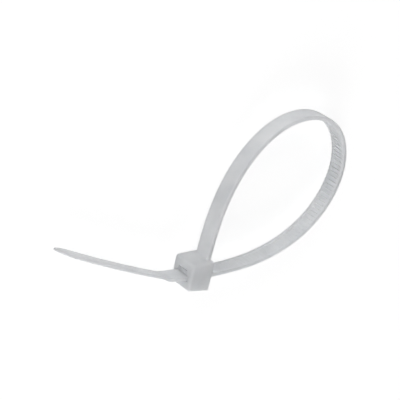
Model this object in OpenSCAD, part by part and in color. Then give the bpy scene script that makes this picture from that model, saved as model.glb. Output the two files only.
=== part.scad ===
// Cable tie of natural nylon, moulded in one piece and closed into a loose loop.
// It lies on its side on Z = 0, with the loop in the XY plane.
// X runs from the tail towards the loop, Y from the far end of the head towards the strap's root.
// The strap leaves the root end of the head, bends round clockwise and comes back through the slot.

/* [Strap] */
// Width of the strap
strap_w = 4.8; // [4.2:0.1:6]
// Thickness of the strap over its rails
strap_t = 1.35; // [1.2:0.05:1.5]
// Rounding of the two long edges on the smooth outer face
outer_r = 0.45; // [0.2:0.05:0.6]
// Rounding of the two long edges on the toothed inner face
inner_r = 0.15; // [0.1:0.05:0.2]
// Width of the plain rail on each side of the teeth
rail_w = 0.8; // [0.7:0.05:1]

/* [Teeth] */
// Spacing of the teeth along the strap
tooth_pitch = 1.25; // [1.15:0.05:1.6]
// Height of the teeth
tooth_h = 0.45; // [0.35:0.01:0.5]
// Drop from the rails to the tooth crests
crest_drop = 0.1; // [0.06:0.01:0.14]
// Flat on top of each tooth
crest_len = 0.25; // [0.15:0.05:0.35]
// Plain strap between the head and the first tooth
plain_run = 9; // [5:1:20]

/* [Loop] */
// Length of strap from the root round to the slot
loop_len = 132.5; // [120:0.5:150]
// Direction of the strap where it leaves the head, in degrees
root_turn = 89.4; // [86:0.2:92]
// Direction of the strap where it enters the slot, in degrees
slot_turn = -179.5; // [-182:0.1:-178]

/* [Head] */
// Height of the head, from the entry face to the exit face
head_h = 7; // [6.5:0.1:7.5]
// Length of the head on the entry face, along the strap's root
head_l = 8.5; // [8.2:0.1:9]
// Width of the head on the entry face
head_w = 7.9; // [7.7:0.1:8.6]
// Width of the head on the exit face
exit_w = 7.6; // [6.8:0.1:7.6]
// How far the root end leans in at the exit face
root_draft = 0.2; // [0.1:0.05:0.6]
// How far the far end leans in at the exit face
far_draft = 0.65; // [0.3:0.05:0.9]
// Depth of the upright flats at the sides of the head, next to the entry face
side_flat = 2.6; // [2:0.1:3.5]
// Distance from the root end of the head to the middle of the slot
slot_v = 4.8; // [4.7:0.05:5]
// Clearance between the strap and the slot on every side
slot_gap = 0.14; // [0.1:0.01:0.18]
// Rounding of the head's four upright corners
corner_r = 0.7; // [0.4:0.1:0.9]
// Rounding of the exit face's edges at the root end and the far end
exit_end_r = 0.8; // [0.5:0.1:1]
// Rounding of the exit face's edges at the two sides
exit_side_r = 0.7; // [0.4:0.1:0.9]

/* [Pawl] */
// Width of the pawl, less than the toothed channel
pawl_w = 2.9; // [2.6:0.1:3]
// Thickness of the pawl at its free end
pawl_t = 1.2; // [0.9:0.05:1.3]
// Space behind the pawl for it to give way
pawl_space = 0.3; // [0.25:0.05:0.45]

/* [Tail] */
// Strap that stands out of the slot before it kinks
neck_len = 4.9; // [4:0.05:6.5]
// Bend of the strap within the slot and neck, in degrees
neck_bend = 4.4; // [1:0.2:7]
// Angle of the kink at the end of the neck, in degrees
kink = 12.1; // [8:0.1:20]
// Length of the tail beyond the kink
tail_len = 40.2; // [36:0.2:46]
// Slow curve of the tail over its length, in degrees
tail_bend = 5.5; // [3:0.1:10]
// Full strap between the kink and the shoulder
shoulder_at = 0.3; // [0.1:0.1:2]
// Length of the shoulder, in which the strap narrows to the tail
shoulder_len = 1.8; // [0.5:0.1:4]
// Width of the tail just past the shoulder
tail_w = 3.2; // [3:0.1:3.6]
// Width of the tail where its tip begins
tail_end_w = 3.15; // [2.8:0.05:3.2]
// Thickness of the tail
tail_t = 0.95; // [0.9:0.05:1.1]
// Length of the pointed tip
tip_len = 5; // [4:0.2:7]
// Number of grip ridges on the outer face of the tail
grips = 9; // [0:1:12]

/* [Hidden] */

nylon = [0.80, 0.82, 0.84];
eps = 0.01;

// The strap's line is a list of stations [x, y, heading], from the root end of the head at y = 0.
loop_steps = 96;
root_setback = 0.1;
root_at = [-strap_t / 2 - root_setback, 0, root_turn];
slot_at = [0, -slot_v, slot_turn];
neck_run = head_h + neck_len;
neck_rate = -neck_bend / neck_run;
kink_r = 2;
kink_run = kink_r * kink * PI / 180;
tail_rate = -tail_bend / tail_len;

// Moves a station on by distance d along an arc that turns c degrees a millimetre.
function go(p, c, d) =
    let (a = p[2] + c * d, r = 180 / (PI * c))
    [p[0] + r * (sin(a) - sin(p[2])), p[1] - r * (cos(a) - cos(p[2])), a];

// A springy strip held only at its ends bends by an amount that is linear in its position.
function bend(b, p) = (b[0] + b[1] * p[0] / loop_len + b[2] * p[1] / loop_len) * 180 / (PI * loop_len);

// Walks the loop with one set of bend factors b, taking each step's bend at its middle.
function step(b, p, h) = go(p, bend(b, go(p, bend(b, p), h / 2)), h);
function walk(b) =
    [for (i = 0, p = root_at; i <= loop_steps; p = step(b, p, loop_len / loop_steps), i = i + 1) p];

// How far the walk's end is from the slot, in place and in heading.
function miss(b) =
    let (e = walk(b)[loop_steps] - slot_at)
    [e[0] / loop_len, e[1] / loop_len, e[2] * PI / 180];

// Newton steps on the three bend factors until the strap arrives in the slot.
function solve(b, rounds) =
    rounds == 0 ? b :
    let (
        m = miss(b),
        d = 0.0001,
        j0 = (miss(b + [d, 0, 0]) - m) / d,
        j1 = (miss(b + [0, d, 0]) - m) / d,
        j2 = (miss(b + [0, 0, d]) - m) / d,
        det = j0 * cross(j1, j2)
    )
    solve(b - [m * cross(j1, j2), j0 * cross(m, j2), j0 * cross(j1, m)] / det, rounds - 1);

loop_line = walk(solve([-1.2, -12.4, -12.8], 7));
loop_h = loop_len / loop_steps;
kink_at = go(slot_at, neck_rate, neck_run);
tail_at = go(kink_at, -kink / kink_run, kink_run);

// The station at distance s from the root. It may lie inside the head, before the root.
function on_loop(s) =
    let (i = min(floor(s / loop_h), loop_steps - 1), f = s / loop_h - i)
    loop_line[i] * (1 - f) + loop_line[i + 1] * f;
function station(s) =
    s < 0 ? [root_at[0] + s * cos(root_turn), s * sin(root_turn), root_turn] :
    s <= loop_len ? on_loop(s) :
    s <= loop_len + neck_run ? go(slot_at, neck_rate, s - loop_len) :
    s <= tail_start ? go(kink_at, -kink / kink_run, s - loop_len - neck_run) :
    go(tail_at, tail_rate, s - tail_start);

// Distances along the strap at which its section changes.
kink_start = loop_len + neck_run;
tail_start = kink_start + kink_run;
tip_start = tail_start + tail_len - tip_len;
tip_end = tail_start + tail_len;
thin_start = loop_len + head_h - 1;
taper_start = tail_start + shoulder_at;
taper_end = taper_start + shoulder_len;

function blend(s, s0, s1, v0, v1) = v0 + (v1 - v0) * max(0, min(1, (s - s0) / (s1 - s0)));
function tip_part(s) = max(0, (tip_end - s) / tip_len);
function width(s) =
    s < taper_end ? blend(s, taper_start, taper_end, strap_w, tail_w) :
    s < tip_start ? blend(s, taper_end, tip_start, tail_w, tail_end_w) :
    tail_end_w * (0.2 + 0.8 * pow(tip_part(s), 0.6));
function thick(s) =
    s < tip_start ? blend(s, thin_start, taper_end, strap_t, tail_t) :
    tail_t * (0.55 + 0.45 * pow(tip_part(s), 0.6));

// A point in the plane, offset from the strap's line: outwards is positive, inwards negative.
function off(s, n) =
    let (p = station(s))
    [p[0] - n * sin(p[2]), p[1] + n * cos(p[2])];
function inner(s, depth) = off(s, depth - thick(s) / 2);

// The strap's section: a flat bar with rounded long edges, as [outward, across] points.
function corner(n, z, r, a0) = [for (a = [a0:45:a0 + 90]) [n + r * cos(a), z + r * sin(a)]];
function section(w, t) =
    let (ro = min(outer_r, t / 2 - 0.05, w / 3), ri = min(inner_r, t / 3))
    concat(
        corner(t / 2 - ro, w / 2 - ro, ro, 0),
        corner(ri - t / 2, w / 2 - ri, ri, 90),
        corner(ri - t / 2, ri - w / 2, ri, 180),
        corner(t / 2 - ro, ro - w / 2, ro, 270)
    );

stations = concat(
    [-1.6, -0.8],
    [for (i = [0:loop_steps]) i * loop_h],
    [for (i = [1:8]) loop_len + neck_run * i / 8],
    [for (i = [1:3]) kink_start + kink_run * i / 3],
    [taper_start],
    [for (i = [0:13]) taper_end + (tip_start - taper_end) * i / 13],
    [for (i = [1:8]) tip_start + tip_len * i / 8]
);

module sweep_strap() {
    m = len(section(strap_w, strap_t));
    n = len(stations);
    points = [for (s = stations) let (p = station(s)) for (q = section(width(s), thick(s)))
        [p[0] - q[0] * sin(p[2]), p[1] + q[0] * cos(p[2]), q[1]]];
    sides = [for (i = [0:n - 2], j = [0:m - 1])
        let (k = (j + 1) % m)
        [i * m + j, (i + 1) * m + j, (i + 1) * m + k, i * m + k]];
    root_end = [for (j = [0:m - 1]) j];
    tip = [for (j = [m - 1:-1:0]) (n - 1) * m + j];
    polyhedron(points, concat([root_end], sides, [tip]));
}

// The teeth are counted from the slot, so that the pawl always meets them.
first_tooth = ceil((plain_run - loop_len) / tooth_pitch);
last_tooth = floor(4.6 / tooth_pitch);
function tooth_s(k) = loop_len + 0.4 + k * tooth_pitch;
tooth_floor = crest_drop + tooth_h;
steep_run = 0.12;

// Everything above the saw-toothed floor of the channel, between the rails.
module tooth_channel() {
    s0 = tooth_s(first_tooth);
    s1 = tooth_s(last_tooth + 1);
    saw = [for (k = [first_tooth:last_tooth]) each [
        inner(tooth_s(k), crest_drop),
        inner(tooth_s(k) + crest_len, crest_drop),
        inner(tooth_s(k + 1) - steep_run, tooth_floor)
    ]];
    above = [for (i = [0:60]) inner(s1 + 0.4 + (s0 - s1 - 0.8) * i / 60, -0.5)];
    linear_extrude(strap_w - 2 * rail_w, center = true)
        polygon(concat(saw, [inner(s1, crest_drop)], above));
}

// Low bars across the outer face of the tail, for the fingers.
module grip_ridges() {
    for (i = [0:grips - 1]) {
        s = tip_start - 2 - i * 2;
        linear_extrude(width(s) - 2 * outer_r, center = true)
            polygon([
                off(s - 0.45, thick(s) / 2 - 0.2),
                off(s - 0.2, thick(s) / 2 + 0.15),
                off(s + 0.2, thick(s) / 2 + 0.15),
                off(s + 0.45, thick(s) / 2 - 0.2)
            ]);
    }
}

module strap() {
    difference() {
        sweep_strap();
        tooth_channel();
    }
    grip_ridges();
}

// A convex outline with each corner rounded by its own radius, from [x, y, radius] rows.
corner_steps = 5;
function unit(v) = v / norm(v);
function arc_point(c, r, a, b, f) =
    let (turn = (b - a + 540) % 360 - 180)
    c + r * [cos(a + turn * f), sin(a + turn * f)];
function rounded(rows) =
    let (n = len(rows))
    [for (i = [0:n - 1])
        let (
            p = [rows[i][0], rows[i][1]],
            before = rows[(i + n - 1) % n],
            after = rows[(i + 1) % n],
            a = unit([before[0], before[1]] - p),
            b = unit([after[0], after[1]] - p),
            r = rows[i][2],
            half = acos(a * b) / 2,
            c = p + unit(a + b) * r / sin(half),
            from = p + a * r / tan(half) - c,
            to = p + b * r / tan(half) - c
        )
        for (k = [0:corner_steps])
            arc_point(c, r, atan2(from[1], from[0]), atan2(to[1], to[0]), k / corner_steps)];

// Three outlines meet in the head: from the side, from the root end and from the entry face.
module head_block() {
    intersection() {
        linear_extrude(head_w + 1, center = true)
            polygon(rounded([
                [0, 0, 0.2],
                [0, -head_l, 0.3],
                [-head_h, far_draft - head_l, exit_end_r],
                [-head_h, -root_draft, exit_end_r]
            ]));
        rotate([90, 0, 0])
            translate([0, 0, -1])
                linear_extrude(head_l + 2)
                    polygon(rounded([
                        [0, -head_w / 2, 0.3],
                        [0, head_w / 2, 0.3],
                        [-side_flat, head_w / 2, 0.5],
                        [-head_h, exit_w / 2, exit_side_r],
                        [-head_h, -exit_w / 2, exit_side_r],
                        [-side_flat, -head_w / 2, 0.5]
                    ]));
        rotate([0, -90, 0])
            translate([0, 0, -1])
                linear_extrude(head_h + 2)
                    polygon(rounded([
                        [-head_w / 2, eps, corner_r],
                        [-head_w / 2, -head_l - eps, corner_r],
                        [head_w / 2, -head_l - eps, corner_r],
                        [head_w / 2, eps, corner_r]
                    ]));
    }
}

slot_near = -slot_v + strap_t / 2 + slot_gap;
slot_far = -slot_v - strap_t / 2 - slot_gap;
pawl_back = slot_near + pawl_t;
pocket_back = pawl_back + pawl_space;

module slot() {
    lead = 0.5;
    translate([0, 0, -strap_w / 2 - slot_gap])
        linear_extrude(strap_w + 2 * slot_gap)
            polygon([
                [1, slot_far - lead - 1],
                [0, slot_far - lead],
                [-0.8, slot_far],
                [-head_h - 1, slot_far],
                [-head_h - 1, slot_near + 0.1],
                [-0.8, slot_near],
                [0, slot_near + lead],
                [1, slot_near + lead + 1]
            ]);
}

module pawl_pocket() {
    linear_extrude(pawl_w + 0.6, center = true)
        polygon([
            [-head_h - 1, slot_near - 0.3],
            [-2.2, slot_near - 0.3],
            [-2.2, pawl_back - 0.1],
            [-2.7, pocket_back],
            [-head_h - 1, pocket_back]
        ]);
}

// The pawl grows from the root side of the slot near the entry and points at the exit.
// Its teeth sit in the strap's notches, so the strap runs out through the exit but not back.
module pawl() {
    tip = head_h - 0.3;
    bite = 0.3;
    front = -0.03;
    teeth = [for (k = [1:3]) each [
        inner(tooth_s(k) + crest_len + 0.2, front),
        inner(tooth_s(k + 1) - steep_run - 0.12, crest_drop + bite),
        inner(tooth_s(k + 1) - steep_run, front)
    ]];
    linear_extrude(pawl_w, center = true)
        polygon(concat(
            [[-1.2, slot_near + 0.4], inner(loop_len + 1.6, front)],
            teeth,
            [
                [-tip - 0.2, slot_near + 0.25],
                [-tip - 0.1, pawl_back - 0.15],
                [-tip + 0.2, pawl_back],
                [-2.6, pawl_back],
                [-1.6, pawl_back + 0.3]
            ]
        ));
}

// A small fillet where the strap's outer face rises from the root end of the head.
module root_fillet() {
    r = 0.8;
    foot = root_at[0] - strap_t / 2 + 0.02;
    floor_y = (foot - r) * root_draft / head_h - 0.02;
    linear_extrude(strap_w - 2 * outer_r, center = true)
        polygon(concat(
            [for (a = [270:15:360]) [foot - r + r * cos(a), floor_y + r + r * sin(a)]],
            [[foot + 0.3, r], [foot + 0.3, -0.6], [foot - r, -0.6]]
        ));
}

module head() {
    difference() {
        head_block();
        slot();
        pawl_pocket();
    }
    pawl();
    root_fillet();
}

// The model's box, so that its bottom centre lands on the origin.
outline = [for (s = stations) each [off(s, thick(s) / 2), off(s, -thick(s) / 2)]];
xs = [for (p = outline) p[0]];
ys = concat([for (p = outline) p[1]], [-head_l]);
middle = [min(xs) + max(xs), min(ys) + max(ys)] / 2;

module cable_tie() {
    color(nylon)
        translate([-middle[0], -middle[1], head_w / 2]) {
            strap();
            head();
        }
}

cable_tie();
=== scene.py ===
"""A natural nylon cable tie, closed into a loose loop and lying on its side on a white table."""

import math

import bmesh
import bpy
from mathutils import Matrix, Vector


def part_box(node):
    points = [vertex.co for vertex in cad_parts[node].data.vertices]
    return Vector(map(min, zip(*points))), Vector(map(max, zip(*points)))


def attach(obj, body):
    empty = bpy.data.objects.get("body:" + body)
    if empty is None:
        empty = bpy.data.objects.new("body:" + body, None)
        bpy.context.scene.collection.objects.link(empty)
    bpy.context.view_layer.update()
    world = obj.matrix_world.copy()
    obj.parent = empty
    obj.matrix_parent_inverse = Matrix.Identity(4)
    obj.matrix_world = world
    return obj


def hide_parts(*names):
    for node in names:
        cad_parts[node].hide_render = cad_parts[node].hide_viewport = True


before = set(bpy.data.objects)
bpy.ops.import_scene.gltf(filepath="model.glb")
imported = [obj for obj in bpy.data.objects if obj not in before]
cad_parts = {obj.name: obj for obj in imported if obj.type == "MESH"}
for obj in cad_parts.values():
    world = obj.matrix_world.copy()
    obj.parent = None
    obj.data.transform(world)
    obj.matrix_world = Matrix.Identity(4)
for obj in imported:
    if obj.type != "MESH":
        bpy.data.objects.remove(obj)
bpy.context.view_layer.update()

# The tie is worked out in millimetres, and its finished skin is scaled to metres. All else is in metres.
MM = 0.001

# Strap and loop
STRAP_W = 4.8
STRAP_T = 1.35
OUTER_R = 0.45
INNER_R = 0.15
RAIL_W = 0.8
LOOP_LEN = 132.5
ROOT_TURN = math.radians(89.4)
SLOT_TURN = math.radians(-179.5)
ROOT_SETBACK = 0.1
LOOP_STEPS = 96
LOOP_STEP = LOOP_LEN / LOOP_STEPS
RING_SPACING = 0.5
ROOT_RINGS = (-1.6, -0.8)

# Teeth, counted from the slot
TOOTH_PITCH = 1.25
TOOTH_H = 0.45
TOOTH_OFFSET = 0.4
CREST_DROP = 0.1
CREST_LEN = 0.25
STEEP_RUN = 0.12
TOOTH_EDGE = 0.03
PLAIN_RUN = 9
TEETH_IN_HEAD = 4.6
RAIL_SHARE = 0.35

# Parting seam along both edges of the strap
SEAM_HALF = 0.05
SEAM_RISE = 0.02

# Head
HEAD_H = 7.0
HEAD_L = 8.5
HEAD_W = 7.9
EXIT_W = 7.6
ROOT_DRAFT = 0.2
FAR_DRAFT = 0.65
SIDE_FLAT = 2.6
CORNER_R = 0.7
ENTRY_R = 0.25
EXIT_END_R = 0.8
EXIT_SIDE_R = 0.7

# Fillet at the head's root end
FILLET_R = 0.8
FILLET_SINK = 0.02
FILLET_DEPTH = 0.6
FILLET_STEPS = 15

# Slot, pawl and pocket
SLOT_V = 4.8
SLOT_GAP = 0.14
SLOT_LEAD = 0.5
SLOT_LEAD_DEPTH = 0.8
SLOT_LEAN = 0.1
POCKET_TOP = 2.2
POCKET_FULL = 2.7
POCKET_SLOPE = 0.1
PAWL_W = 2.9
PAWL_T = 1.2
PAWL_SPACE = 0.3
PAWL_SHORT = 0.3
PAWL_BITE = 0.3
PAWL_CLEAR = 0.03
PAWL_TEETH = (1, 2, 3)
PAWL_FLAT = 0.2
PAWL_FRONT_AT = 1.6
PAWL_BACK_AT = 2.6
PAWL_SUNK = 0.4
PAWL_POINT = 0.2
PAWL_POINT_FRONT = 0.25
PAWL_POINT_BACK = 0.15

# Neck, kink and tail
NECK_LEN = 4.9
NECK_BEND = math.radians(4.4)
KINK = math.radians(12.1)
KINK_R = 2
TAIL_LEN = 40.2
TAIL_BEND = math.radians(5.5)
SHOULDER_AT = 0.3
SHOULDER_LEN = 1.8
TAIL_W = 3.2
TAIL_END_W = 3.15
TAIL_T = 0.95
THIN_IN_HEAD = 1

# Pointed tip: its end's share of the tail's width and thickness, and how round the point is
TIP_LEN = 5
TIP_END_W = 0.2
TIP_END_T = 0.55
TIP_POWER = 0.6

# Finger ridges across the tail, and how far from a ridge's middle its profile is drawn
GRIPS = 9
GRIP_PITCH = 2
GRIP_RISE = 0.15
GRIP_FOOT = 0.31
GRIP_SLOPE = 0.11
GRIP_RINGS = (-0.36, -0.31, -0.22, -0.17, 0.17, 0.22, 0.31, 0.36)

# Mark of the mould's gate
GATE_R = 0.6
GATE_TIP_R = 0.552
GATE_RISE = 0.1
GATE_SUNK = 0.4
GATE_SIDES = 40

# Distances along the strap at which its section changes
NECK_RUN = HEAD_H + NECK_LEN
KINK_RUN = KINK_R * KINK
KINK_START = LOOP_LEN + NECK_RUN
TAIL_START = KINK_START + KINK_RUN
TIP_START = TAIL_START + TAIL_LEN - TIP_LEN
TIP_END = TAIL_START + TAIL_LEN
THIN_START = LOOP_LEN + HEAD_H - THIN_IN_HEAD
TAPER_START = TAIL_START + SHOULDER_AT
TAPER_END = TAPER_START + SHOULDER_LEN


# The strap's line
def go(place, rate, distance):
    """The station reached after a distance on an arc that turns rate radians a millimetre."""
    x, y, heading = place
    end = heading + rate * distance
    return (
        x + (math.sin(end) - math.sin(heading)) / rate,
        y - (math.cos(end) - math.cos(heading)) / rate,
        end,
    )


ROOT_AT = (-STRAP_T / 2 - ROOT_SETBACK, 0.0, ROOT_TURN)
SLOT_AT = (0.0, -SLOT_V, SLOT_TURN)


def bend(factors, place):
    """A springy strip held only at its ends bends by an amount that is linear in its position."""
    steady, by_x, by_y = factors
    return (steady + by_x * place[0] / LOOP_LEN + by_y * place[1] / LOOP_LEN) / LOOP_LEN


def walk(factors):
    """Stations all round the loop, each step's bend taken at its middle."""
    line = [ROOT_AT]
    for _ in range(LOOP_STEPS):
        here = line[-1]
        middle = go(here, bend(factors, here), LOOP_STEP / 2)
        line.append(go(here, bend(factors, middle), LOOP_STEP))
    return line


def miss(factors):
    """How far the walk's end is from the slot, in place and in heading."""
    x, y, heading = walk(factors)[-1]
    return Vector(((x - SLOT_AT[0]) / LOOP_LEN, (y - SLOT_AT[1]) / LOOP_LEN, heading - SLOT_AT[2]))


FIRST_GUESS = Vector((-1.2, -12.4, -12.8))
ROUNDS = 8
NUDGE = 1e-4


def solve():
    """Newton steps on the three bend factors until the strap arrives in the slot."""
    factors = FIRST_GUESS
    for _ in range(ROUNDS):
        now = miss(factors)
        slopes = [(miss(factors + NUDGE * axis) - now) / NUDGE for axis in Matrix.Identity(3)]
        factors = factors - Matrix(slopes).transposed().inverted() @ now
    return factors


LOOP_LINE = walk(solve())
KINK_AT = go(SLOT_AT, -NECK_BEND / NECK_RUN, NECK_RUN)
TAIL_AT = go(KINK_AT, -KINK / KINK_RUN, KINK_RUN)


def station(s):
    """Place and heading of the strap's middle at distance s from the root."""
    if s < 0:
        return (ROOT_AT[0] + s * math.cos(ROOT_TURN), s * math.sin(ROOT_TURN), ROOT_TURN)
    if s <= LOOP_LEN:
        i = min(int(s / LOOP_STEP), LOOP_STEPS - 1)
        here = LOOP_LINE[i]
        turn = (LOOP_LINE[i + 1][2] - here[2]) / LOOP_STEP
        past = s - i * LOOP_STEP
        return go(here, turn, past) if past > 0 else here
    if s <= KINK_START:
        return go(SLOT_AT, -NECK_BEND / NECK_RUN, s - LOOP_LEN)
    if s <= TAIL_START:
        return go(KINK_AT, -KINK / KINK_RUN, s - KINK_START)
    return go(TAIL_AT, -TAIL_BEND / TAIL_LEN, s - TAIL_START)


def blend(s, s0, s1, v0, v1):
    """A value that goes evenly from v0 at s0 to v1 at s1, and stays level outside them."""
    return v0 + (v1 - v0) * max(0.0, min(1.0, (s - s0) / (s1 - s0)))


def tip_part(s):
    """How much of the point lies ahead: one where it starts and zero at its end."""
    return max(0.0, (TIP_END - s) / TIP_LEN)


def width(s):
    if s < TAPER_END:
        return blend(s, TAPER_START, TAPER_END, STRAP_W, TAIL_W)
    if s < TIP_START:
        return blend(s, TAPER_END, TIP_START, TAIL_W, TAIL_END_W)
    return TAIL_END_W * (TIP_END_W + (1 - TIP_END_W) * tip_part(s) ** TIP_POWER)


def thick(s):
    if s < TIP_START:
        return blend(s, THIN_START, TAPER_END, STRAP_T, TAIL_T)
    return TAIL_T * (TIP_END_T + (1 - TIP_END_T) * tip_part(s) ** TIP_POWER)


def off(s, n):
    """A point of the plane at offset n from the strap's middle, outwards positive."""
    x, y, heading = station(s)
    return (x - n * math.sin(heading), y + n * math.cos(heading))


def inner(s, depth):
    """A point of the plane at this depth below the strap's inner face."""
    return off(s, depth - thick(s) / 2)


# Teeth and ridges
def tooth_s(k):
    """Where tooth k starts, with tooth 0 just inside the slot."""
    return LOOP_LEN + TOOTH_OFFSET + k * TOOTH_PITCH


FIRST_TOOTH = math.ceil((PLAIN_RUN - LOOP_LEN) / TOOTH_PITCH)
LAST_TOOTH = math.floor(TEETH_IN_HEAD / TOOTH_PITCH)
RACK_START = tooth_s(FIRST_TOOTH)
RACK_END = tooth_s(LAST_TOOTH + 1)
RAMP_END = TOOTH_PITCH - STEEP_RUN


def tooth_depth(s):
    """Depth of the sawtooth channel's floor below the rails."""
    if s < RACK_START or s > RACK_END:
        return 0.0
    past = (s - RACK_START) % TOOTH_PITCH
    if past < CREST_LEN:
        return CREST_DROP
    if past < RAMP_END:
        return CREST_DROP + TOOTH_H * (past - CREST_LEN) / (RAMP_END - CREST_LEN)
    return CREST_DROP + TOOTH_H * (1 - (past - RAMP_END) / STEEP_RUN)


def rail_dip(depth):
    """How far the rails sink between the teeth, which shows as a finely notched inner edge."""
    return RAIL_SHARE * max(0.0, depth - CREST_DROP)


GRIP_AT = [TIP_START - (i + 1) * GRIP_PITCH for i in range(GRIPS)]


def grip_height(s):
    """Height of the finger ridges above the tail's outer face."""
    near = min(abs(s - g) for g in GRIP_AT)
    return GRIP_RISE * max(0.0, min(1.0, (GRIP_FOOT - near) / GRIP_SLOPE))


KINK_STEPS = 8
TIP_STEPS = 24
TIP_EASE = 1.6
STEP_IN = 0.001
CLOSEST_RINGS = 0.0009


def stations():
    """Where the strap's section is drawn: at an even spacing, and closely at each tooth and ridge."""
    marks = {TIP_END, TAPER_START, TAPER_END}
    marks.update(ROOT_RINGS)
    marks.update(i * RING_SPACING for i in range(int(TIP_START / RING_SPACING) + 1))
    for k in range(FIRST_TOOTH, LAST_TOOTH + 1):
        for corner in (0, CREST_LEN, RAMP_END):
            marks.update(tooth_s(k) + corner + d for d in (-TOOTH_EDGE, TOOTH_EDGE))
    for s in (RACK_START, RACK_END):
        marks.update(s + d for d in (-TOOTH_EDGE, -STEP_IN, STEP_IN, TOOTH_EDGE))
    for g in GRIP_AT:
        marks.update(g + d for d in GRIP_RINGS)
    marks.update(KINK_START + KINK_RUN * i / KINK_STEPS for i in range(KINK_STEPS + 1))
    for i in range(TIP_STEPS + 1):
        marks.add(TIP_START + TIP_LEN * (1 - (1 - i / TIP_STEPS) ** TIP_EASE))
    kept = []
    for s in sorted(marks):
        if not kept or s - kept[-1] > CLOSEST_RINGS:
            kept.append(s)
    return kept


def quarter(steps, start=0):
    """The angles that part a quarter turn into steps, from a start in degrees."""
    return [math.radians(start + 90 * i / steps) for i in range(steps + 1)]


def arc(n, z, r, start, steps):
    """A quarter turn of points about (n, z), from a start in degrees."""
    return [(n + r * math.cos(a), z + r * math.sin(a)) for a in quarter(steps, start)]


OUTER_STEPS = 6
INNER_STEPS = 4
CHANNEL_EDGE = 0.05
RIDGE_INSET = 0.08

# Limits that keep the rounds, the seam and the channel inside the section where the tip is narrow
LEAST_FLAT = 0.05
LEAST_WALL = 0.1
ROUND_LIMIT = 1.5
SEAM_LIMIT = 0.3
CHANNEL_LIMIT = 0.6
EDGE_LIMIT = 3


def section(s):
    """The strap's section as (outward, across) points: rounded outer edges, rails and channel."""
    half_w = width(s) / 2
    half_t = thick(s) / 2
    depth = tooth_depth(s)
    rail = rail_dip(depth) - half_t
    ro = min(OUTER_R, half_t - LEAST_FLAT, half_w / ROUND_LIMIT)
    ri = min(INNER_R, half_t / ROUND_LIMIT)
    low = rail + ri
    high = half_t - ro
    seam = (low + high) / 2
    seam_half = min(SEAM_HALF, SEAM_LIMIT * (high - low))
    seam_rise = SEAM_RISE * min(1.0, tip_part(s))
    channel = min(STRAP_W / 2 - RAIL_W, CHANNEL_LIMIT * half_w, half_w - ri - LEAST_WALL)
    edge = min(CHANNEL_EDGE, (depth - rail_dip(depth)) / EDGE_LIMIT)
    floor = depth - half_t
    half = [(half_t + grip_height(s), half_w - ro - RIDGE_INSET)]
    half += arc(high, half_w - ro, ro, 0, OUTER_STEPS)
    half += [(seam + seam_half, half_w), (seam, half_w + seam_rise), (seam - seam_half, half_w)]
    half += arc(low, half_w - ri, ri, 90, INNER_STEPS)
    half += [(rail, channel + CHANNEL_EDGE), (rail + edge, channel)]
    half += [(floor - edge, channel), (floor, channel - CHANNEL_EDGE)]
    return half + [(n, -z) for n, z in reversed(half)]


def tube(rings):
    """A closed mesh through rings of points that have the same number of points each."""
    bm = bmesh.new()
    loops = [[bm.verts.new(p) for p in ring] for ring in rings]
    for loop, ahead in zip(loops, loops[1:]):
        for j in range(len(loop)):
            bm.faces.new((loop[j - 1], ahead[j - 1], ahead[j], loop[j]))
    bm.faces.new(loops[0])
    bm.faces.new(reversed(loops[-1]))
    return bm


def weld(bm, near):
    """Joins the points that are nearer than this, and turns all faces outwards."""
    bmesh.ops.remove_doubles(bm, verts=bm.verts, dist=near)
    bmesh.ops.recalc_face_normals(bm, faces=bm.faces)
    return bm


STRAP_WELD = 0.0015
HEAD_WELD = 0.0005


def strap_mesh():
    rings = [[(*off(s, n), z) for n, z in section(s)] for s in stations()]
    return weld(tube(rings), STRAP_WELD)


# Head: x runs from the entry face down to the exit face, y from the root end to the far end
def prism(points, half):
    """An upright prism on a polygon of the plane, half this far up and half down."""
    bm = tube([[(x, y, z) for x, y in points] for z in (-half, half)])
    bmesh.ops.recalc_face_normals(bm, faces=bm.faces)
    return bm


def inset(depth, r):
    """How far a rounded edge of radius r stands in at this depth below the face."""
    return r - math.sqrt(max(0.0, r * r - max(0.0, r - depth) ** 2))


CORNER_STEPS = 8
ENTRY_STEPS = 6
EXIT_STEPS = 8
SIDE_RINGS = [1.2, SIDE_FLAT, 4.4]


def head_ring(depth):
    """The head's outline at this depth below its entry face."""
    share = depth / HEAD_H
    top = inset(depth, ENTRY_R)
    end = inset(HEAD_H - depth, EXIT_END_R)
    side = inset(HEAD_H - depth, EXIT_SIDE_R)
    r = CORNER_R
    root = -ROOT_DRAFT * share - top - end - r
    far = -HEAD_L + FAR_DRAFT * share + top + end + r
    half = blend(depth, SIDE_FLAT, HEAD_H, HEAD_W / 2, EXIT_W / 2) - top - side - r
    ring = []
    for y, z, start in ((root, half, 0), (far, half, 90), (far, -half, 180), (root, -half, 270)):
        ring += arc(y, z, r, start, CORNER_STEPS)
    return [(-depth, y, z) for y, z in ring]


def head_block():
    depths = [ENTRY_R * (1 - math.cos(a)) for a in quarter(ENTRY_STEPS)]
    depths += SIDE_RINGS
    depths += [HEAD_H - EXIT_END_R * (1 - math.sin(a)) for a in quarter(EXIT_STEPS)]
    return weld(tube([head_ring(depth) for depth in depths]), HEAD_WELD)


SLOT_NEAR = -SLOT_V + STRAP_T / 2 + SLOT_GAP
SLOT_FAR = -SLOT_V - STRAP_T / 2 - SLOT_GAP
PAWL_BACK = SLOT_NEAR + PAWL_T
POCKET_BACK = PAWL_BACK + PAWL_SPACE
BEYOND = 1
BELOW_HEAD = -HEAD_H - BEYOND
OVERLAP = 0.3


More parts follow.
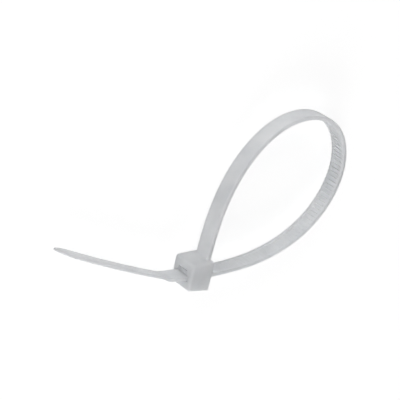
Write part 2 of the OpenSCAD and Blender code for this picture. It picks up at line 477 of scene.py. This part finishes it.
def slot_cut():
    """The slot with its lead-in at the entry face."""
    far = SLOT_FAR - SLOT_LEAD
    near = SLOT_NEAR + SLOT_LEAD
    line = [(BEYOND, far - BEYOND), (0, far), (-SLOT_LEAD_DEPTH, SLOT_FAR), (BELOW_HEAD, SLOT_FAR)]
    line += [(BELOW_HEAD, SLOT_NEAR + SLOT_LEAN), (-SLOT_LEAD_DEPTH, SLOT_NEAR)]
    line += [(0, near), (BEYOND, near + BEYOND)]
    return prism(line, STRAP_W / 2 + SLOT_GAP)


def pocket_cut():
    """The space round the pawl, open at the exit face."""
    near = SLOT_NEAR - OVERLAP
    line = [(BELOW_HEAD, near), (-POCKET_TOP, near), (-POCKET_TOP, PAWL_BACK - POCKET_SLOPE)]
    line += [(-POCKET_FULL, POCKET_BACK), (BELOW_HEAD, POCKET_BACK)]
    return prism(line, PAWL_W / 2 + PAWL_SPACE)


def pawl():
    """The sprung tongue, with three teeth that sit in the strap's notches."""
    line = [(PAWL_SUNK - PAWL_FRONT_AT, SLOT_NEAR + PAWL_SUNK)]
    line += [inner(LOOP_LEN + PAWL_FRONT_AT, -PAWL_CLEAR)]
    for k in PAWL_TEETH:
        notch = tooth_s(k) + RAMP_END
        line += [inner(tooth_s(k) + CREST_LEN + PAWL_FLAT, -PAWL_CLEAR)]
        line += [inner(notch - STEEP_RUN, CREST_DROP + PAWL_BITE)]
        line += [inner(notch, -PAWL_CLEAR)]
    tip = PAWL_SHORT - HEAD_H
    line += [(tip - PAWL_POINT, SLOT_NEAR + PAWL_POINT_FRONT)]
    line += [(tip - PAWL_POINT / 2, PAWL_BACK - PAWL_POINT_BACK)]
    line += [(tip + PAWL_POINT, PAWL_BACK), (-PAWL_BACK_AT, PAWL_BACK)]
    line += [(-PAWL_FRONT_AT, PAWL_BACK + OVERLAP)]
    return prism(line, PAWL_W / 2)


def root_fillet():
    """The small round where the strap's outer face rises from the head."""
    side = ROOT_AT[0] - STRAP_T / 2 + FILLET_SINK
    start = side - FILLET_R
    foot = start * ROOT_DRAFT / HEAD_H - FILLET_SINK
    line = arc(start, foot + FILLET_R, FILLET_R, 270, FILLET_STEPS)
    line += [(side + OVERLAP, FILLET_R), (side + OVERLAP, -FILLET_DEPTH), (start, -FILLET_DEPTH)]
    return prism(line, STRAP_W / 2 - OUTER_R)


def gate_mark():
    """The low round stump that the mould's gate leaves on the head's far end."""
    depth = HEAD_H / 2
    face = -HEAD_L + FAR_DRAFT * depth / HEAD_H
    height = GATE_RISE + GATE_SUNK
    middle = Matrix.Translation((-depth, face - GATE_RISE + height / 2, 0))
    bm = bmesh.new()
    bmesh.ops.create_cone(
        bm, cap_ends=True, segments=GATE_SIDES, radius1=GATE_R, radius2=GATE_TIP_R, depth=height,
        matrix=middle @ Matrix.Rotation(math.pi / 2, 4, "X"),
    )
    return bm


# One skin
def to_object(name, bm):
    mesh = bpy.data.meshes.new(name)
    bm.to_mesh(mesh)
    bm.free()
    obj = bpy.data.objects.new(name, mesh)
    bpy.context.scene.collection.objects.link(obj)
    return obj


def combine(base, steps):
    """Joins and cuts base with the others in turn, and leaves a single closed skin."""
    tools = []
    for name, bm, operation in steps:
        mod = base.modifiers.new(name, "BOOLEAN")
        mod.operation = operation
        mod.solver = "MANIFOLD"
        mod.object = to_object(name, bm)
        tools.append(mod.object)
    graph = bpy.context.evaluated_depsgraph_get()
    mesh = bpy.data.meshes.new_from_object(base.evaluated_get(graph))
    base.modifiers.clear()
    base.data = mesh
    for tool in tools:
        bpy.data.objects.remove(tool)


SLIVER = 0.001


def heal(mesh):
    """Takes out the slivers that the joins leave, so that the skin stays closed."""
    bm = bmesh.new()
    bm.from_mesh(mesh)
    bmesh.ops.remove_doubles(bm, verts=bm.verts, dist=SLIVER)
    bmesh.ops.dissolve_degenerate(bm, edges=bm.edges, dist=SLIVER)
    bm.to_mesh(mesh)
    bm.free()


SHARP_ANGLE = math.radians(32)


def place_in_frame(mesh):
    """Moves the skin from the head's own corner to where the solid lies, in metres."""
    low, _ = (Vector(c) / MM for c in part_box("cable_tie"))
    least_x = min(off(s, side * thick(s) / 2)[0] for s in stations() for side in (-1, 1))
    shift = Vector((low.x - least_x, low.y + HEAD_L, low.z + HEAD_W / 2))
    mesh.transform(Matrix.Scale(MM, 4) @ Matrix.Translation(shift))


def make_tie():
    tie = to_object("tie_skin", head_block())
    combine(tie, [
        ("cut_slot", slot_cut(), "DIFFERENCE"),
        ("cut_pocket", pocket_cut(), "DIFFERENCE"),
        ("add_pawl", pawl(), "UNION"),
        ("add_fillet", root_fillet(), "UNION"),
        ("add_gate_mark", gate_mark(), "UNION"),
        ("add_strap", strap_mesh(), "UNION"),
    ])
    heal(tie.data)
    place_in_frame(tie.data)
    tie.data.shade_smooth()
    tie.data.set_sharp_from_angle(angle=SHARP_ANGLE)
    weighted = tie.modifiers.new("normals", "WEIGHTED_NORMAL")
    weighted.keep_sharp = True
    return tie


# Materials
def new_material(name):
    mat = bpy.data.materials.new(name)
    mat.use_nodes = True
    mat.node_tree.nodes.clear()
    return mat, mat.node_tree


def node(tree, kind, **values):
    """A new node, with each value set on the node itself or on its socket of that name."""
    made = tree.nodes.new(kind)
    for key, value in values.items():
        if hasattr(made, key):
            setattr(made, key, value)
        else:
            made.inputs[key.replace("_", " ")].default_value = value
    return made


CLOUD_SCALE = 160.0
CLOUD_DETAIL = 3.0
GRAIN_SCALE = 5200.0
GRAIN_DETAIL = 2.0
NYLON_DEEP = (0.812, 0.827, 0.848, 1)
NYLON_DEEP_AT = 0.35
NYLON_PALE = (0.89, 0.9, 0.915, 1)
NYLON_PALE_AT = 0.65
ROUGH_LOW = 0.5
ROUGH_HIGH = 0.6
GRAIN_STRENGTH = 0.12
GRAIN_HEIGHT = 0.00002
NYLON_IOR = 1.53
SEE_THROUGH = 0.4
SCATTER_REACH = 0.002


def nylon():
    """Natural nylon: milky and a little see-through, with cloudy patches and a fine satin grain."""
    mat, tree = new_material("natural_nylon")
    link = tree.links.new
    place = node(tree, "ShaderNodeTexCoord")
    cloud = node(tree, "ShaderNodeTexNoise", Scale=CLOUD_SCALE, Detail=CLOUD_DETAIL)
    grain = node(tree, "ShaderNodeTexNoise", Scale=GRAIN_SCALE, Detail=GRAIN_DETAIL)
    link(place.outputs["Object"], cloud.inputs["Vector"])
    link(place.outputs["Object"], grain.inputs["Vector"])
    tint = node(tree, "ShaderNodeValToRGB")
    deep, pale = tint.color_ramp.elements
    deep.position = NYLON_DEEP_AT
    deep.color = NYLON_DEEP
    pale.position = NYLON_PALE_AT
    pale.color = NYLON_PALE
    link(cloud.outputs["Fac"], tint.inputs["Fac"])
    gloss = node(tree, "ShaderNodeMapRange", To_Min=ROUGH_LOW, To_Max=ROUGH_HIGH)
    link(grain.outputs["Fac"], gloss.inputs["Value"])
    bump = node(tree, "ShaderNodeBump", Strength=GRAIN_STRENGTH, Distance=GRAIN_HEIGHT)
    link(grain.outputs["Fac"], bump.inputs["Height"])
    skin = node(
        tree, "ShaderNodeBsdfPrincipled", IOR=NYLON_IOR, Transmission_Weight=SEE_THROUGH,
        Subsurface_Weight=1.0, Subsurface_Radius=(1.0, 1.0, 1.0), Subsurface_Scale=SCATTER_REACH,
    )
    link(tint.outputs["Color"], skin.inputs["Base Color"])
    link(gloss.outputs["Result"], skin.inputs["Roughness"])
    link(bump.outputs["Normal"], skin.inputs["Normal"])
    out = node(tree, "ShaderNodeOutputMaterial")
    link(skin.outputs["BSDF"], out.inputs["Surface"])
    return mat


def seen_rays(tree):
    """One for camera, glossy and transmission rays, and zero for the rays that carry light."""
    path = node(tree, "ShaderNodeLightPath")
    first = node(tree, "ShaderNodeMath", operation="ADD")
    both = node(tree, "ShaderNodeMath", operation="ADD", use_clamp=True)
    tree.links.new(path.outputs["Is Camera Ray"], first.inputs[0])
    tree.links.new(path.outputs["Is Glossy Ray"], first.inputs[1])
    tree.links.new(first.outputs["Value"], both.inputs[0])
    tree.links.new(path.outputs["Is Transmission Ray"], both.inputs[1])
    return both.outputs["Value"]


TABLE_GREY = 0.8
TABLE_SEEN_GREY = 0.4
TABLE_GLOW = 0.77
TABLE_HALF = 3.0


def table_top():
    """A table that is plain white to the eye, keeps a soft shadow and throws light back as pale grey."""
    mat, tree = new_material("white_table")
    link = tree.links.new
    seen = seen_rays(tree)
    grey = node(tree, "ShaderNodeMapRange", To_Min=TABLE_GREY, To_Max=TABLE_SEEN_GREY)
    link(seen, grey.inputs["Value"])
    lit = node(tree, "ShaderNodeBsdfDiffuse")
    link(grey.outputs["Result"], lit.inputs["Color"])
    share = node(tree, "ShaderNodeMath", operation="MULTIPLY")
    share.inputs[1].default_value = TABLE_GLOW
    link(seen, share.inputs[0])
    glow = node(tree, "ShaderNodeEmission")
    link(share.outputs["Value"], glow.inputs["Strength"])
    both = node(tree, "ShaderNodeAddShader")
    link(lit.outputs["BSDF"], both.inputs[0])
    link(glow.outputs["Emission"], both.inputs[1])
    out = node(tree, "ShaderNodeOutputMaterial")
    link(both.outputs["Shader"], out.inputs["Surface"])
    return mat


def make_table():
    """A wide flat square at the height that the tie lies on."""
    bm = bmesh.new()
    corners = ((-1, -1), (1, -1), (1, 1), (-1, 1))
    bm.faces.new([bm.verts.new((x * TABLE_HALF, y * TABLE_HALF, 0.0)) for x, y in corners])
    table = to_object("table", bm)
    table.data.materials.append(table_top())
    return table


# Light
SKY_LEVEL = 0.2
LAMP_SIZE = 0.35
LAMP_REACH = 0.7


def make_world():
    """A world that gives a weak even light and looks white."""
    world = bpy.data.worlds.new("studio")
    bpy.context.scene.world = world
    world.use_nodes = True
    tree = world.node_tree
    tree.nodes.clear()
    sky = node(tree, "ShaderNodeBackground", Color=(1, 1, 1, 1), Strength=SKY_LEVEL)
    white = node(tree, "ShaderNodeBackground", Color=(1, 1, 1, 1), Strength=1.0)
    pick = node(tree, "ShaderNodeMixShader")
    out = node(tree, "ShaderNodeOutputWorld")
    tree.links.new(seen_rays(tree), pick.inputs["Fac"])
    tree.links.new(sky.outputs["Background"], pick.inputs[1])
    tree.links.new(white.outputs["Background"], pick.inputs[2])
    tree.links.new(pick.outputs["Shader"], out.inputs["Surface"])


def soft_lamp(name, azimuth, elevation, watts):
    """A square lamp in this direction from the middle of the table, turned towards it."""
    around = math.radians(azimuth)
    above = math.radians(elevation)
    flat = LAMP_REACH * math.cos(above)
    lamp = bpy.data.lights.new(name, "AREA")
    lamp.size = LAMP_SIZE
    lamp.energy = watts
    obj = bpy.data.objects.new(name, lamp)
    obj.location = (flat * math.cos(around), flat * math.sin(around), LAMP_REACH * math.sin(above))
    obj.rotation_euler = (-obj.location).to_track_quat("-Z", "Y").to_euler()
    bpy.context.scene.collection.objects.link(obj)


# Camera: its roll stands the tie upright in the picture, as in the photograph
CAMERA_AT = Vector((-0.26895, 0.15658, 0.27331))
AIM_AT = Vector((-0.00252, 0.00162, 0.00395))
CAMERA_ROLL = math.radians(124.147)
FOCAL_MM = 145.2
SENSOR_MM = 36
NEAREST_SEEN = 0.01


def make_camera():
    data = bpy.data.cameras.new("camera")
    data.sensor_width = SENSOR_MM
    data.lens = FOCAL_MM
    data.clip_start = NEAREST_SEEN
    camera = bpy.data.objects.new("camera", data)
    towards = (AIM_AT - CAMERA_AT).normalized()
    level_right = towards.cross(Vector((0, 0, 1))).normalized()
    level_up = level_right.cross(towards)
    right = level_right * math.cos(CAMERA_ROLL) + level_up * math.sin(CAMERA_ROLL)
    turn = Matrix((right, right.cross(towards), -towards)).transposed()
    camera.matrix_world = Matrix.Translation(CAMERA_AT) @ turn.to_4x4()
    bpy.context.scene.collection.objects.link(camera)
    return camera


tie = make_tie()
tie.data.materials.clear()
tie.data.materials.append(nylon())
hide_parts("cable_tie")
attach(tie, "root")

table = make_table()
make_world()
soft_lamp("key", 180, 50, 1.1)
soft_lamp("left_key", 90, 15, 1.2)
soft_lamp("front_key", 135, 15, 1.0)
soft_lamp("right_fill", 225, 15, 0.5)
soft_lamp("far_fill", 270, 15, 2.4)
soft_lamp("end_fill", 0, 15, 0.3)

bpy.context.scene.camera = make_camera()
bpy.context.scene.view_settings.view_transform = "Standard"
